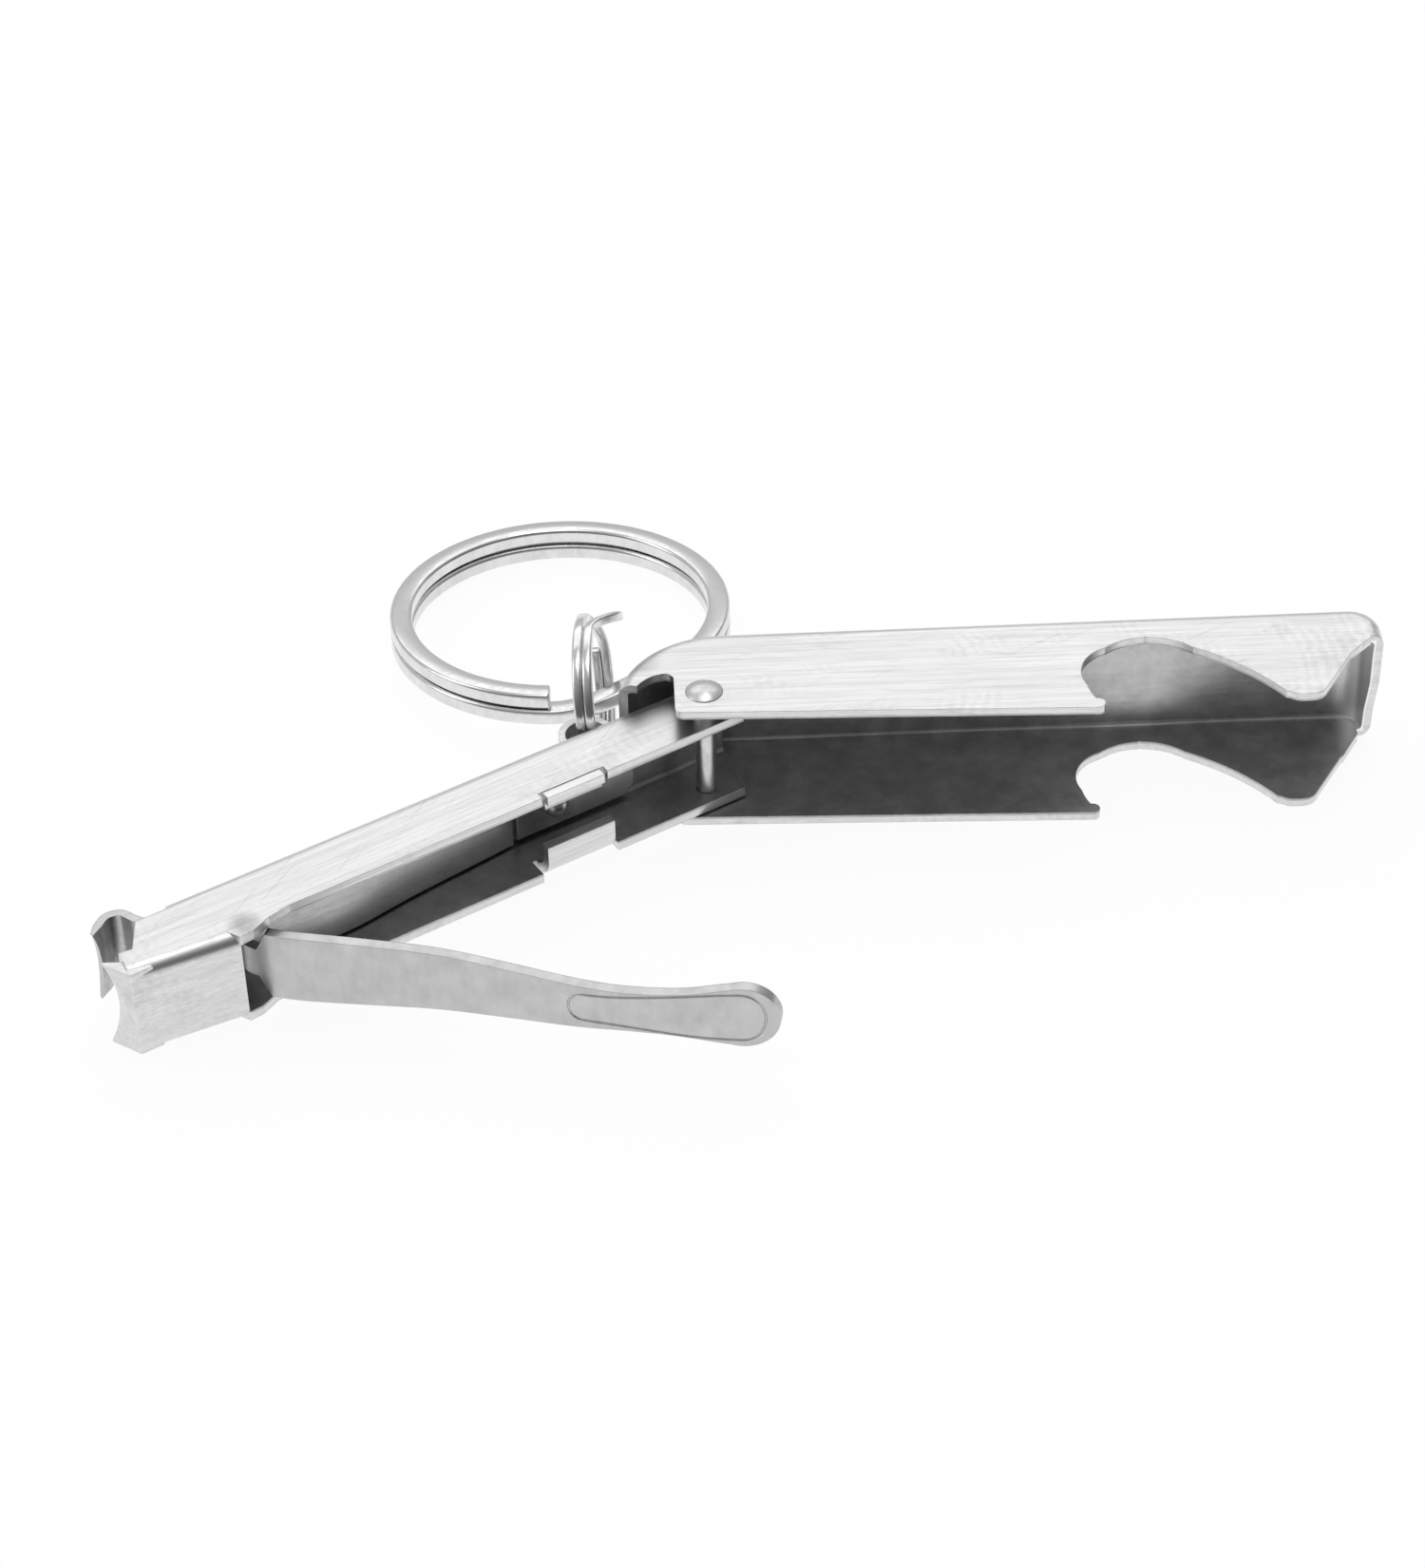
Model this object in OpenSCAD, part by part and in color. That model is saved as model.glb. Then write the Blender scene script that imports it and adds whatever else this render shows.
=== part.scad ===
// Folding keychain tool: a channel-shaped bottle opener handle that folds over a small nail clipper.
// Millimetres. Origin: the pivot rivet's axis on the underside of the handle.
// +X runs along the handle to its closed end, +Y to its back wall, +Z up along the rivet.

/* [Opener handle] */
// Thickness of the handle's sheet steel
handle_t = 0.8; // [0.6:0.1:1.2]
// Height of the handle over its two flanges
handle_h = 12.2; // [12:0.1:15]
// Length from the pivot axis to the outside of the closed end
handle_len = 57.9; // [57.5:0.5:75]
// Distance from the pivot axis to the outside of the back wall
handle_back = 8.4; // [8.3:0.1:12]
// Reach of the flanges in front of the pivot axis
handle_front = 2.8; // [2.4:0.1:4]
// Angle at which the flanges grow deeper towards the closed end, in degrees
handle_flare = 2.4; // [0:0.1:4]
// Outside radius of the bends between the back wall and the flanges
handle_bend = 1.2; // [1.1:0.1:2]
// Outside radius of the curl that wraps round the pivot end
curl_r = 8.9; // [8.6:0.1:12]
// Place of the curl's centre along the handle
curl_x = 1.5; // [0.5:0.1:2.5]
// Depth of the rim that joins the curl to the flange
curl_rim = 2.8; // [2:0.1:3]
// Outside radius of the corner at the closed end
end_corner_r = 2.6; // [2.4:0.1:4]
// Place of the free edge of the end wall, from the pivot axis towards the back
end_wall_y = 3.8; // [3.2:0.1:5]

/* [Bottle opener cut-out] */
// Distance from the closed end back to the centre of the cap throat
throat_from_end = 22.5; // [21:0.5:28]
// Radius of the cap throat
throat_r = 3.7; // [3:0.1:4.5]
// Radius of the crest next to the throat
crest_r = 5.6; // [5:0.1:6.5]
// Radius of the long sweep that leads to the prying lobe
sweep_r = 21; // [18:0.5:24]
// Distance from the closed end back to the middle of the prying lobe
lobe_from_end = 7.7; // [7:0.1:9]

/* [Clipper body] */
// Angle between the clipper and the handle's line in the opened position, in degrees
open_angle = 31; // [25:0.5:36]
// Thickness of the clipper's sheet steel
body_t = 0.9; // [0.7:0.1:1.1]
// Gap between the clipper and the handle's upper flange
top_gap = 1.5; // [1:0.1:2]
// Length from the pivot axis to the cutting edge
body_len = 56; // [50:0.5:56.5]
// Distance from the pivot axis to the outside of the clipper's web
body_back = 4.3; // [4.1:0.1:4.5]
// Reach of the clipper's flanges in front of the pivot axis
body_front = 1.9; // [1.6:0.1:2.2]
// Outside radius of the clipper's bends
body_bend = 1.3; // [1.1:0.1:1.6]
// Gap between the clipper and the handle's lower flange
side_gap = 0.15; // [0.1:0.05:0.4]

/* [Jaws and lever] */
// Thickness of the jaw arm
arm_t = 0.7; // [0.5:0.05:0.8]
// Gap between each edge of the jaw arm and the clipper's flange
arm_side_gap = 0.225; // [0.1:0.025:0.5]
// Distance from the pivot axis to the line where the jaw arm flexes
flex_from_pivot = 17.7; // [17:0.1:19]
// Distance between the two cutting edges with the jaws open
jaw_gap = 3.9; // [3.5:0.1:4.2]
// Radius of the hollow in both cutting edges
edge_hollow_r = 10; // [8:0.5:14]
// Thickness of the lever
lever_t = 0.9; // [0.7:0.1:1]
// Gap between each edge of the lever's root and the clipper's flange
lever_side_gap = 0.325; // [0.2:0.025:0.6]
// Height of the lever at its waist
waist_h = 4; // [3.4:0.1:5]
// Height of the lever's thumb pad
pad_h = 6; // [5:0.1:6.5]
// Length of the lever from its fulcrum to its tip
lever_len = 41.2; // [34:0.2:42]
// Angle of the open lever to the clipper, in degrees
lever_open = 44; // [30:1:44]
// Distance from the cutting edge back to the lever's fulcrum
fulcrum_from_edge = 13; // [12.6:0.1:13.4]

/* [Rivets] */
// Radius of the pivot rivet's shaft
pivot_r = 0.85; // [0.6:0.05:1]
// Running clearance round the pivot rivet in the clipper
pivot_clear = 0.05; // [0.02:0.01:0.1]
// Radius of the pivot rivet's head
pivot_head_r = 1.6; // [1.3:0.1:2]
// Radius of the anchor rivet's shaft
anchor_r = 0.8; // [0.6:0.1:1]

/* [Rings] */
// Distance from the pivot axis back to the middle of the lug
lug_from_pivot = 8.6; // [8.5:0.1:9.2]
// Radius of the opening in the lug
lug_hole_r = 1.8; // [1.6:0.1:2]
// Wire diameter of the small split ring
link_wire = 0.9; // [0.7:0.05:1]
// Outside diameter of the small split ring
link_od = 14; // [13.6:0.1:14.6]
// Outside diameter of the key ring
key_od = 30.5; // [25:0.5:35]
// Width of the key ring's flat wire
key_w = 2; // [1.6:0.1:2.2]
// Height of the key ring over its two turns
key_h = 3.2; // [2.4:0.1:3.4]

/* [Hidden] */
$fn = 96;
steel = "silver";
bright = "gainsboro";
eps = 0.01;
lap = 0.2;                                   // overlap of plates that are one sheet

// Handle
rim = handle_bend + lap;                     // depth of the rims along the back and end walls
curl_c = [curl_x, handle_back - curl_r];
flange_x0 = -2.5;
flange_corner_r = 0.6;
notch_fillet_r = 0.8;
fillet_bite = 0.04;                          // how far the fillet runs into the rim, so the edges cross
stop_gap = 0.08;                             // play left between the curl's end and the clipper
throat = [handle_len - throat_from_end, 0.4];
crest = throat + [2.2, -0.9];
sweep = throat + [-4.2, -15.2];
hook_x = throat[0] - 2.7;
hook_r = 0.6;
lobe_x = handle_len - lobe_from_end;
lobe_y = -3.45;
lobe_r = 1.5;
slope_x = handle_len - 3.2;                   // point where the flange's end slope flattens
slope_y = 1.9;
// Angle and rim depth left
rim_taper = [[146.3, 3.25], [152.5, 2.58], [160, 2.03], [173, 1.31], [186, 0.47], [194, -0.1]];

// Clipper
body_z = handle_t + side_gap;
body_h = handle_h - 2 * handle_t - side_gap - top_gap;
arm_h = body_h - 2 * (body_t + arm_side_gap);
lever_h = body_h - 2 * (body_t + lever_side_gap);
body_top = body_z + body_h;
mid_z = body_z + body_h / 2;
tail_x = 3.9;                                // how far the web runs past the pivot
face_x = -body_len + 10.4;                   // where the wall behind the front jaw starts
face_len = body_len - 1.2 + face_x;
face_y = -3.1;
face_turn = 7;
web_x = -body_len + 7.4;
lip_x = [-17, -10.5];
lip_r = 2.2;
lip_top = body_z + 3.65;
tab_x = [-16.7, -11.2];
tab_y = -2.1;
tab_rise = 0.9;                              // depth of the tab's end that fills the flange's notch
tab_clear = 0.4;
edge_y = 0.7;                                // side position of the front cutting edge
edge_tip = 0.12;                             // width left on a cutting edge
anchor_x = -13.2;
anchor_z = body_z + 3.25;
anchor_head_h = 0.45;
plate_x1 = -5.6;
plate_corner_r = 1.3;
lug_out = 0.8;                               // straight part of the lug before its round end
lug_t = 0.6;

// Lever, in a frame with its fulcrum at the origin and the lever shut along the clipper
fulcrum = [fulcrum_from_edge - body_len, -body_front - 0.7];
nose_gap = 0.15;                             // play between the nose and the web behind it
cross_w = 0.5;
cross_t = lever_t + 0.1;
cross_y = body_back - body_t - nose_gap - fulcrum[1];
neck_h = 2.8;
cross_h = 5.4;
nose_x = -1;
slot_h = 3.6;
slot_x = [fulcrum[0] + nose_x - 4.6, fulcrum[0] + nose_x + 0.8];
arm_gap = 0.15;                              // play between the jaw arm and the web behind it
flex = [-flex_from_pivot, body_back - body_t - arm_t / 2 - arm_gap];

// Rings
link_shift = 0.3;                            // the small ring hangs on the pivot's side of the lug
lug_seat = [link_shift - lug_from_pivot, body_back + lug_out + 0.25];
link_turn = 5;                               // how far the small ring turns from the +Y direction
link_lean = 6;                               // how far its top leans away from the pivot
link_r = (link_od - link_wire) / 2;
link_z = link_od / 2 + 0.05;
lug_z = [link_z - 2.45, link_z + 1.15];
link_pitch = link_wire - 0.04;
key_r = (key_od - key_w) / 2;
key_inside = link_r - link_wire / 2;
key_grip = 2.3;                              // from the small ring's inside to the key ring's wire
key_reach = key_inside - key_grip;
key_side = 3.5;                              // sideways shift of the key ring's centre
key_groove = 0.12;

function spin(p, a) = [p[0] * cos(a) - p[1] * sin(a), p[0] * sin(a) + p[1] * cos(a)];
function polar(r, a) = r * [cos(a), sin(a)];
function arc(c, r, a, b, n) = [for (k = [0 : n]) c + polar(r, a + (b - a) * k / n)];
function front_y(x) = -handle_front - tan(handle_flare) * x;

// Smooth curve through a short list of points
function blend(a, b, c, d, t) = 0.5 * (2 * b + (c - a) * t + (2 * a - 5 * b + 4 * c - d) * t * t
    + (3 * b - a - 3 * c + d) * t * t * t);
function curve(p, n) = concat([for (i = [0 : len(p) - 2]) for (k = [0 : n - 1])
    blend(p[max(i - 1, 0)], p[i], p[i + 1], p[min(i + 2, len(p) - 1)], k / n)], [p[len(p) - 1]]);
function unit(v) = v / norm(v);
function heading(p, i) = unit(p[min(i + 1, len(p) - 1)] - p[max(i - 1, 0)]);
function aside(p, i, d) = p[i] + d * [-heading(p, i)[1], heading(p, i)[0]];

// Strip of sheet along a curve; its last points thin down to the width tip
module strip(p, t, tip, taper) {
    last = len(p) - 1;
    half = [for (i = [0 : last]) max(tip, t * min(1, (last - i) / taper)) / 2];
    polygon(concat([for (i = [0 : last]) aside(p, i, half[i])],
        [for (i = [last : -1 : 0]) aside(p, i, -half[i])]));
}

// Section of a wall with its two bends: outer face on x = 0, sheet towards -x, base on y = 0
module bent_wall(h, t, bend, depth) {
    difference() {
        bend_block(h, bend, depth);
        translate([-t, t]) bend_block(h - 2 * t, bend - t, depth);
    }
}

module bend_block(h, r, depth) {
    translate([-depth, 0]) square([depth - r, h]);
    translate([-r - eps, r]) square([r + eps, h - 2 * r]);
    intersection() {
        for (y = [r, h - r]) translate([-r, y]) circle(r);
        translate([-r - eps, 0]) square([r + eps, h]);
    }
}

module handle_wall(depth) bent_wall(handle_h, handle_t, handle_bend, depth);

// What is taken off a square corner at the origin to leave a radius; the corner points to -x, -y
module corner_cut(r) {
    difference() {
        translate([-1, -1]) square(r + 1);
        translate([r, r]) circle(r);
    }
}

module cap_cutout() {
    translate(throat) circle(throat_r);
    translate(crest) circle(crest_r);
    intersection() {
        translate(sweep) circle(sweep_r);
        translate([crest[0], -8]) square([20, 16]);
    }
}

module flange_plan() {
    inner_y = handle_back - rim + lap / 2;
    inner_r = curl_r - curl_rim + lap / 2;
    corner = [handle_len, handle_back] - end_corner_r * [1, 1];
    end_x = handle_len - rim + lap / 2;
    difference() {
        union() {
            intersection() {
                polygon([[flange_x0, inner_y], [flange_x0, front_y(flange_x0)], [hook_x, front_y(hook_x)],
                    [hook_x, inner_y]]);
                union() {
                    translate([curl_x, -10]) square([handle_len, 30]);
                    translate(curl_c) circle(inner_r);
                }
            }
            translate([hook_x, front_y(hook_x) + hook_r]) circle(hook_r);
            polygon(concat([[hook_x - eps, 0]], arc([lobe_x - 0.3, lobe_y + lobe_r], lobe_r, 225, 270, 4),
                arc([lobe_x + 0.4, lobe_y + lobe_r], lobe_r, 270, 328, 5),
                [[slope_x, slope_y], [end_x, end_wall_y], [end_x, corner[1]], corner, [corner[0], inner_y],
                [hook_x - eps, inner_y]]));
            translate(corner) circle(end_corner_r - rim + lap / 2);
            notch_fillet(inner_r);
        }
        difference() {
            cap_cutout();
            translate([hook_x - 6, front_y(hook_x) - 2]) square([6 + hook_r, 2 + 2 * hook_r]);
        }
        translate([flange_x0, front_y(flange_x0)]) corner_cut(flange_corner_r);
    }
}

// Fillet where the flange's end meets the rim of the curl
module notch_fillet(outer_r) {
    rim_r = curl_r - curl_rim + fillet_bite;
    f = notch_fillet_r;
    dx = flange_x0 - f - curl_c[0];
    dy = sqrt(pow(rim_r - f, 2) - dx * dx);
    centre = curl_c + [dx, dy];
    touch = curl_c + (centre - curl_c) * rim_r / (rim_r - f);
    difference() {
        intersection() {
            polygon([centre, centre + [f + lap, 0], [flange_x0 + lap, centre[1] + 4],
                [touch[0], touch[1] + 1], touch]);
            translate(curl_c) circle(outer_r);
        }
        translate(centre) circle(f);
    }
}

// Takes the curl's rims down to nothing towards its free end
module rim_cut() {
    edge = [for (p = curve(rim_taper, 4)) curl_c + (curl_r - p[1]) * [cos(p[0]), sin(p[0])]];
    for (z = [-1, handle_h - handle_bend]) translate([0, 0, z]) linear_extrude(handle_bend + 1)
        polygon(concat(edge, [curl_c + [-curl_r, -6], curl_c + [-4.2, -6]]));
}

// Slopes the free edge of the end wall and of the lower flange next to it
module end_cut() {
    y = end_wall_y;
    translate([handle_len - handle_bend, 0, 0]) rotate([90, 0, 90]) linear_extrude(handle_bend + 1)
        polygon([[y - 5, -1], [y + 1.9, -1], [y + 1.9, 1], [y + 1.7, 3.2], [y + 0.5, 7],
            [y + 0.5, handle_h - 2], [y + 0.2, handle_h + 1], [y - 5, handle_h + 1]]);
    translate([handle_len, y, -1]) linear_extrude(handle_t + 1.1)
        polygon([[-3, -1.8], [-0.8, 1.9], [1, 2], [1, -3], [-3, -3]]);
}

module opener_handle() {
    end_y = handle_back - end_corner_r;
    straight = handle_len - end_corner_r - curl_x;
    n_angle = open_angle - 90;
    reach = -(body_back + stop_gap) - (curl_c[0] * cos(n_angle) + curl_c[1] * sin(n_angle));
    curl_angle = 270 + n_angle - acos(reach / (curl_r - handle_t));
    color(steel) difference() {
        union() {
            for (z = [0, handle_h - handle_t]) translate([0, 0, z]) linear_extrude(handle_t) flange_plan();
            translate([curl_x, handle_back, 0]) rotate([90, 0, 90]) linear_extrude(straight) handle_wall(rim);
            translate(curl_c) rotate([0, 0, 90]) rotate_extrude(angle = curl_angle)
                translate([curl_r, 0]) handle_wall(curl_rim);
            translate([handle_len - end_corner_r, end_y, 0]) rotate_extrude(angle = 90)
                translate([end_corner_r, 0]) handle_wall(rim);
            translate([handle_len, end_y, 0]) rotate([90, 0, 0]) linear_extrude(end_y - end_wall_y)
                handle_wall(rim);
        }
        rim_cut();
        end_cut();
        translate([0, 0, -1]) cylinder(r = pivot_r, h = handle_h + 2);
    }
}

module pivot_rivet() {
    recess = 0.05;
    dome_h = 0.55;
    dome_r = (pivot_head_r * pivot_head_r + dome_h * dome_h) / (2 * dome_h);
    color(bright) {
        translate([0, 0, recess]) cylinder(r = pivot_r, h = handle_h - recess + eps);
        intersection() {
            translate([0, 0, handle_h + dome_h - dome_r]) sphere(dome_r);
            translate([0, 0, handle_h]) cylinder(r = pivot_head_r + 1, h = dome_h + 1);
        }
    }
}

// Everything of the clipper is drawn along -X and turned to its opened position
module opened() rotate([0, 0, open_angle]) children();

// Side position just behind the front wall's bend, at a distance along the wall
function shelf_y(x) = face_y + body_bend + 0.2 - x * tan(face_turn);

module body_plan() {
    dip = 15.5;                              // where the flange's edge starts to swing out to the jaw
    polygon([[tail_x, body_back + 1], [tail_x, 3], [2.85, -1.5], [2.7, -body_front],
        [dip - body_len, -body_front], [dip - 2.1 - body_len, -body_front - 0.35],
        [face_x + 1.2, face_y + 0.1], [face_x, face_y], [face_x - 0.8, shelf_y(-0.8)],
        [2.1 - body_len, shelf_y(2.1 - body_len - face_x)], [-body_len + 4.4, body_back - body_t - 0.1],
        [web_x, body_back - body_t - 0.1],
        [web_x, body_back + 1]]);
}

module hollow_cutter() {
    translate([0, 0, mid_z]) rotate([90, 0, 0]) cylinder(r = edge_hollow_r, h = 30, center = true);
}

// The wall that closes the front of the channel and its lip, ground to the front cutting edge
module front_jaw() {
    translate([face_x, face_y, body_z]) rotate([0, 0, 180 - face_turn]) {
        rotate([90, 0, 90]) linear_extrude(face_len) bent_wall(body_h, body_t, body_bend, 2.6);
    }
    lip_start = [face_x, face_y] + spin([face_len, 0], 180 - face_turn);
    translate([0, 0, body_z + 0.3]) linear_extrude(body_h - 0.6) polygon([lip_start,
        [-body_len, edge_y], [-body_len + edge_tip, edge_y], lip_start + [1.5, 1], lip_start + [2, 0]]);
}

module lug() {
    translate([-lug_from_pivot, body_back, lug_z[0]]) linear_extrude(lug_z[1] - lug_z[0]) difference() {
        union() {
            translate([0, lug_out]) circle(lug_hole_r + lug_t);
            translate([-lug_hole_r - lug_t, -body_t]) square([2 * (lug_hole_r + lug_t), body_t + lug_out]);
        }
        translate([0, lug_out]) circle(lug_hole_r);
        translate([-lug_hole_r, -body_t - 1]) square([2 * lug_hole_r, body_t + 1 + lug_out]);
        translate([-5, -body_t - 5]) square([10, 5]);
    }
}

// Part of the lower flange that is curled up in front of the anchor
module lip() {
    translate([lip_x[0], 0, body_z]) rotate([90, 0, 90]) linear_extrude(lip_x[1] - lip_x[0]) {
        intersection() {
            translate([0, lip_r]) difference() {
                circle(lip_r);
                circle(lip_r - body_t);
            }
            translate([-lip_r, 0]) square(lip_r);
        }
        translate([-lip_r, lip_r]) square([body_t, lip_top - body_z - lip_r]);
    }
}

module clipper_body() {
    notch_y = tab_y + tab_rise;
    color(steel) opened() difference() {
        union() {
            intersection() {
                translate([-body_len, body_back, body_z]) rotate([90, 0, 90])
                    linear_extrude(body_len + tail_x)
                    bent_wall(body_h, body_t, body_bend, body_back - face_y);
                linear_extrude(handle_h) body_plan();
            }
            front_jaw();
            lug();
        }
        translate([tab_x[0] - tab_clear, -8, body_top - body_t - 1])
            cube([tab_x[1] - tab_x[0] + 2 * tab_clear, 8 + notch_y, 5]);
        translate([lip_x[0] - 0.4, -8, body_z - 1]) cube([lip_x[1] - lip_x[0] + 0.8, 8, body_t + 1 + eps]);
        translate([-lug_from_pivot - lug_hole_r, body_back - body_t - 1, lug_z[0]])
            cube([2 * lug_hole_r, body_t + 1 + eps, lug_z[1] - lug_z[0]]);
        translate([0, 0, body_z - 1]) cylinder(r = pivot_r + pivot_clear, h = body_h + 2);
        translate([anchor_x, body_back + 1, anchor_z]) rotate([90, 0, 0]) cylinder(r = anchor_r, h = 3);
        translate([-body_len + 0.9 - edge_hollow_r, 0, 0]) hollow_cutter();
    }
    color(steel) opened() lip();
}

// Anchor plate on the web; its tab passes under the upper flange and up into the flange's notch
module jaw_anchor() {
    y1 = body_back - body_t;
    inner_r = body_bend - body_t;
    z0 = body_z + body_t + inner_r;
    plate_h = body_h - 2 * (body_t + inner_r);
    z1 = body_top - body_t - 0.05;
    x0 = -flex_from_pivot + 0.55;
    color("darkgray") opened() {
        difference() {
            translate([x0, y1, z0]) rotate([90, 0, 0]) linear_extrude(arm_t) difference() {
                square([plate_x1 - x0, plate_h]);
                translate([plate_x1 - x0, 0]) mirror([1, 0]) corner_cut(plate_corner_r);
            }
            translate([anchor_x, y1 + 1, anchor_z]) rotate([90, 0, 0]) cylinder(r = anchor_r, h = 3);
        }
        translate([tab_x[0], tab_y + 0.5, z1 - arm_t])
            cube([tab_x[1] - tab_x[0], y1 - inner_r - tab_y - 0.5, arm_t]);
        translate([tab_x[0], tab_y, z1 - eps]) cube([tab_x[1] - tab_x[0], tab_rise, body_top - z1 - 0.05]);
    }
}

module anchor_rivet() {
    y_front = body_back - body_t - arm_t;
    head_r = anchor_r + 0.25;
    color(bright) opened() {
        translate([anchor_x, body_back, anchor_z]) rotate([90, 0, 0])
            cylinder(r = anchor_r, h = body_t + arm_t);
        translate([anchor_x, body_back + anchor_head_h, anchor_z]) rotate([90, 0, 0])
            cylinder(r = head_r, h = anchor_head_h);
        intersection() {
            translate([anchor_x, y_front + 0.3, anchor_z]) sphere(anchor_r + 0.35);
            translate([anchor_x, y_front, anchor_z]) rotate([90, 0, 0]) cylinder(r = 3, h = 3);
        }
    }
}

// Rear jaw on a long bowed arm, which flexes next to its anchor
module jaw_arm() {
    edge_x = -body_len + 0.9;
    edge = [edge_x, edge_y + jaw_gap];
    web_y = body_back - body_t;
    bow = [[0.164, -0.9], [0.392, -1.45], [0.62, -2.2], [0.791, -1.95]];   // share of the arm's length, side
    root = 12 - body_len - flex[0];
    hook = [[12, -1.35], [8, -0.85], [6.3, -0.1], [5.1, 1.3], [4.4, 2.7], [3.2, 3]];  // from the edge, side
    path = curve(concat([flex], [for (p = bow) [flex[0] + p[0] * root, web_y + p[1]]],
        [for (p = hook) [p[0] - body_len, web_y + p[1]]], [edge + [1, 0.95], edge]), 6);
    color(steel) opened() difference() {
        translate([0, 0, mid_z - arm_h / 2]) linear_extrude(arm_h) strip(path, arm_t, edge_tip, 7);
        translate([slot_x[0], -2, mid_z - slot_h / 2]) cube([slot_x[1] - slot_x[0], 8, slot_h]);
        translate([edge_x + 0.9 - edge_hollow_r, 0, 0]) hollow_cutter();
    }
}

// Side view of the lever: tapered nose, waist, and thumb pad with a round end
module lever_side() {
    half = [[-6, neck_h], [-1.1, neck_h], [-0.2, lever_h], [4, lever_h], [lever_len * 0.28, lever_h - 0.5],
        [lever_len - 24, lever_h - 1.1], [lever_len - 16, waist_h + 0.35], [lever_len - 12, waist_h],
        [lever_len - 8, waist_h + 0.35], [lever_len - 4.6, pad_h - 0.5], [lever_len - pad_h / 2, pad_h]];
    top = concat([half[0], half[1]], curve([for (i = [2 : len(half) - 1]) half[i]], 5));
    polygon(concat([for (p = top) [p[0], p[1] / 2]],
        [for (i = [len(top) - 1 : -1 : 0]) [top[i][0], -top[i][1] / 2]]));
    translate([lever_len - pad_h / 2, 0]) circle(pad_h / 2);
}

module lever() {
    nose = [for (y = [cross_y, cross_y - 2, 1.9]) spin([nose_x, y], lever_open)];
    // share of the lever's length, side
    bow = [[0.188, 0.25], [0.329, 0.45], [0.47, 0.05], [0.634, -0.5], [0.798, -0.25]];
    path = curve(concat(nose, [[0, 0.1], [2.4, 0]], [for (p = bow) [p[0] * lever_len, p[1]]],
        [[lever_len - 3, 0.4], [lever_len + 1, 0.8]]), 6);
    color(bright) opened() translate([fulcrum[0], fulcrum[1], mid_z]) rotate([0, 0, -lever_open]) {
        intersection() {
            translate([0, 0, -lever_h]) linear_extrude(2 * lever_h) strip(path, lever_t, lever_t, 1);
            rotate([90, 0, 0]) linear_extrude(40, center = true) lever_side();
        }
        rotate([0, 0, lever_open]) translate([nose_x - cross_t / 2, cross_y - cross_w, -cross_h / 2])
            cube([cross_t, cross_w, cross_h]);
    }
}

// Places its children at the small ring's centre with the ring's axis along z
module at_link() {
    opened() translate([lug_seat[0], lug_seat[1], link_z]) rotate([0, 0, 90 - open_angle - link_turn])
        rotate([-link_lean, 0, 0]) translate([link_r, 0, 0]) rotate([90, 0, 0]) children();
}

module link_ring() {
    color(bright) at_link() {
        for (z = [-link_pitch / 2, link_pitch / 2]) {
            translate([0, 0, z]) rotate_extrude() translate([link_r, 0]) circle(link_wire / 2, $fn = 32);
        }
    }
}

module key_ring() {
    seat = spin(lug_seat, open_angle) + link_r * [sin(link_turn), cos(link_turn)];
    down = 0.725 * key_reach;
    cross = [seat[0] + key_reach * 0.69 * sin(link_turn) + down * sin(link_lean), seat[1] + key_reach * 0.69,
        link_z - down];
    rise = cross[2] - key_h / 2;
    back = key_r * cos(asin(key_side / key_r));
    tilt = asin(rise / (back + key_r));
    turn_h = (key_h - key_groove) / 2;
    color(bright) translate(cross) rotate([-tilt, 0, 0]) translate([-key_side, back, -key_h / 2]) {
        rotate_extrude() translate([key_r - key_w / 2, 0]) {
            square([key_w, turn_h]);
            translate([key_groove, turn_h - eps]) square([key_w - 2 * key_groove, key_groove + 2 * eps]);
            translate([0, turn_h + key_groove]) square([key_w, turn_h]);
        }
    }
}

opener_handle();
pivot_rivet();
clipper_body();
jaw_anchor();
anchor_rivet();
jaw_arm();
lever();
link_ring();
key_ring();
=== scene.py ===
"""Looks of the folding keychain tool: brushed steel sheet, satin lever and plated split rings."""
import math

import bmesh
import bpy
import numpy as np
from mathutils import Matrix, Vector
from mathutils.bvhtree import BVHTree


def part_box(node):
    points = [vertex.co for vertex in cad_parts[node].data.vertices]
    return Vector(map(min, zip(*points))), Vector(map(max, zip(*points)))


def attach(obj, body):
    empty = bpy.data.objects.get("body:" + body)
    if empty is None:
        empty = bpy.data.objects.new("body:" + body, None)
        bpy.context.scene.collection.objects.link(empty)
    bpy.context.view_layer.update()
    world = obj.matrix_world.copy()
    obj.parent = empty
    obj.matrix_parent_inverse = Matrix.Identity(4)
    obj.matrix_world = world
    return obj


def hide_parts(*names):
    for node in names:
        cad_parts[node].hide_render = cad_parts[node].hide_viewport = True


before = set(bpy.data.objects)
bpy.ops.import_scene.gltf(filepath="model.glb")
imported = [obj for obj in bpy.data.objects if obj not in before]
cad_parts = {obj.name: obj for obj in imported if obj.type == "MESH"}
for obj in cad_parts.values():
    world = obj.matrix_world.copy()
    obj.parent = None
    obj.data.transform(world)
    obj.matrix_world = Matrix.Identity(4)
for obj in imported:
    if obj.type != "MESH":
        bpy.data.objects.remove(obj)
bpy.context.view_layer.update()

MM = 0.001
OPEN_ANGLE = math.radians(31)                 # angle of the opened clipper to the handle
scene = bpy.context.scene


# ---------------------------------------------------------------- camera
VIEW_ELEVATION = math.radians(39.25)
VIEW_AZIMUTH = math.radians(-1.18)
VIEW_ROLL = math.radians(-1.51)
VIEW_DISTANCE = 0.3243
VIEW_TARGET = Vector((0.43, -3.48, 5.0)) * MM
LENS_MM = 88.5
SENSOR_MM = 36


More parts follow.
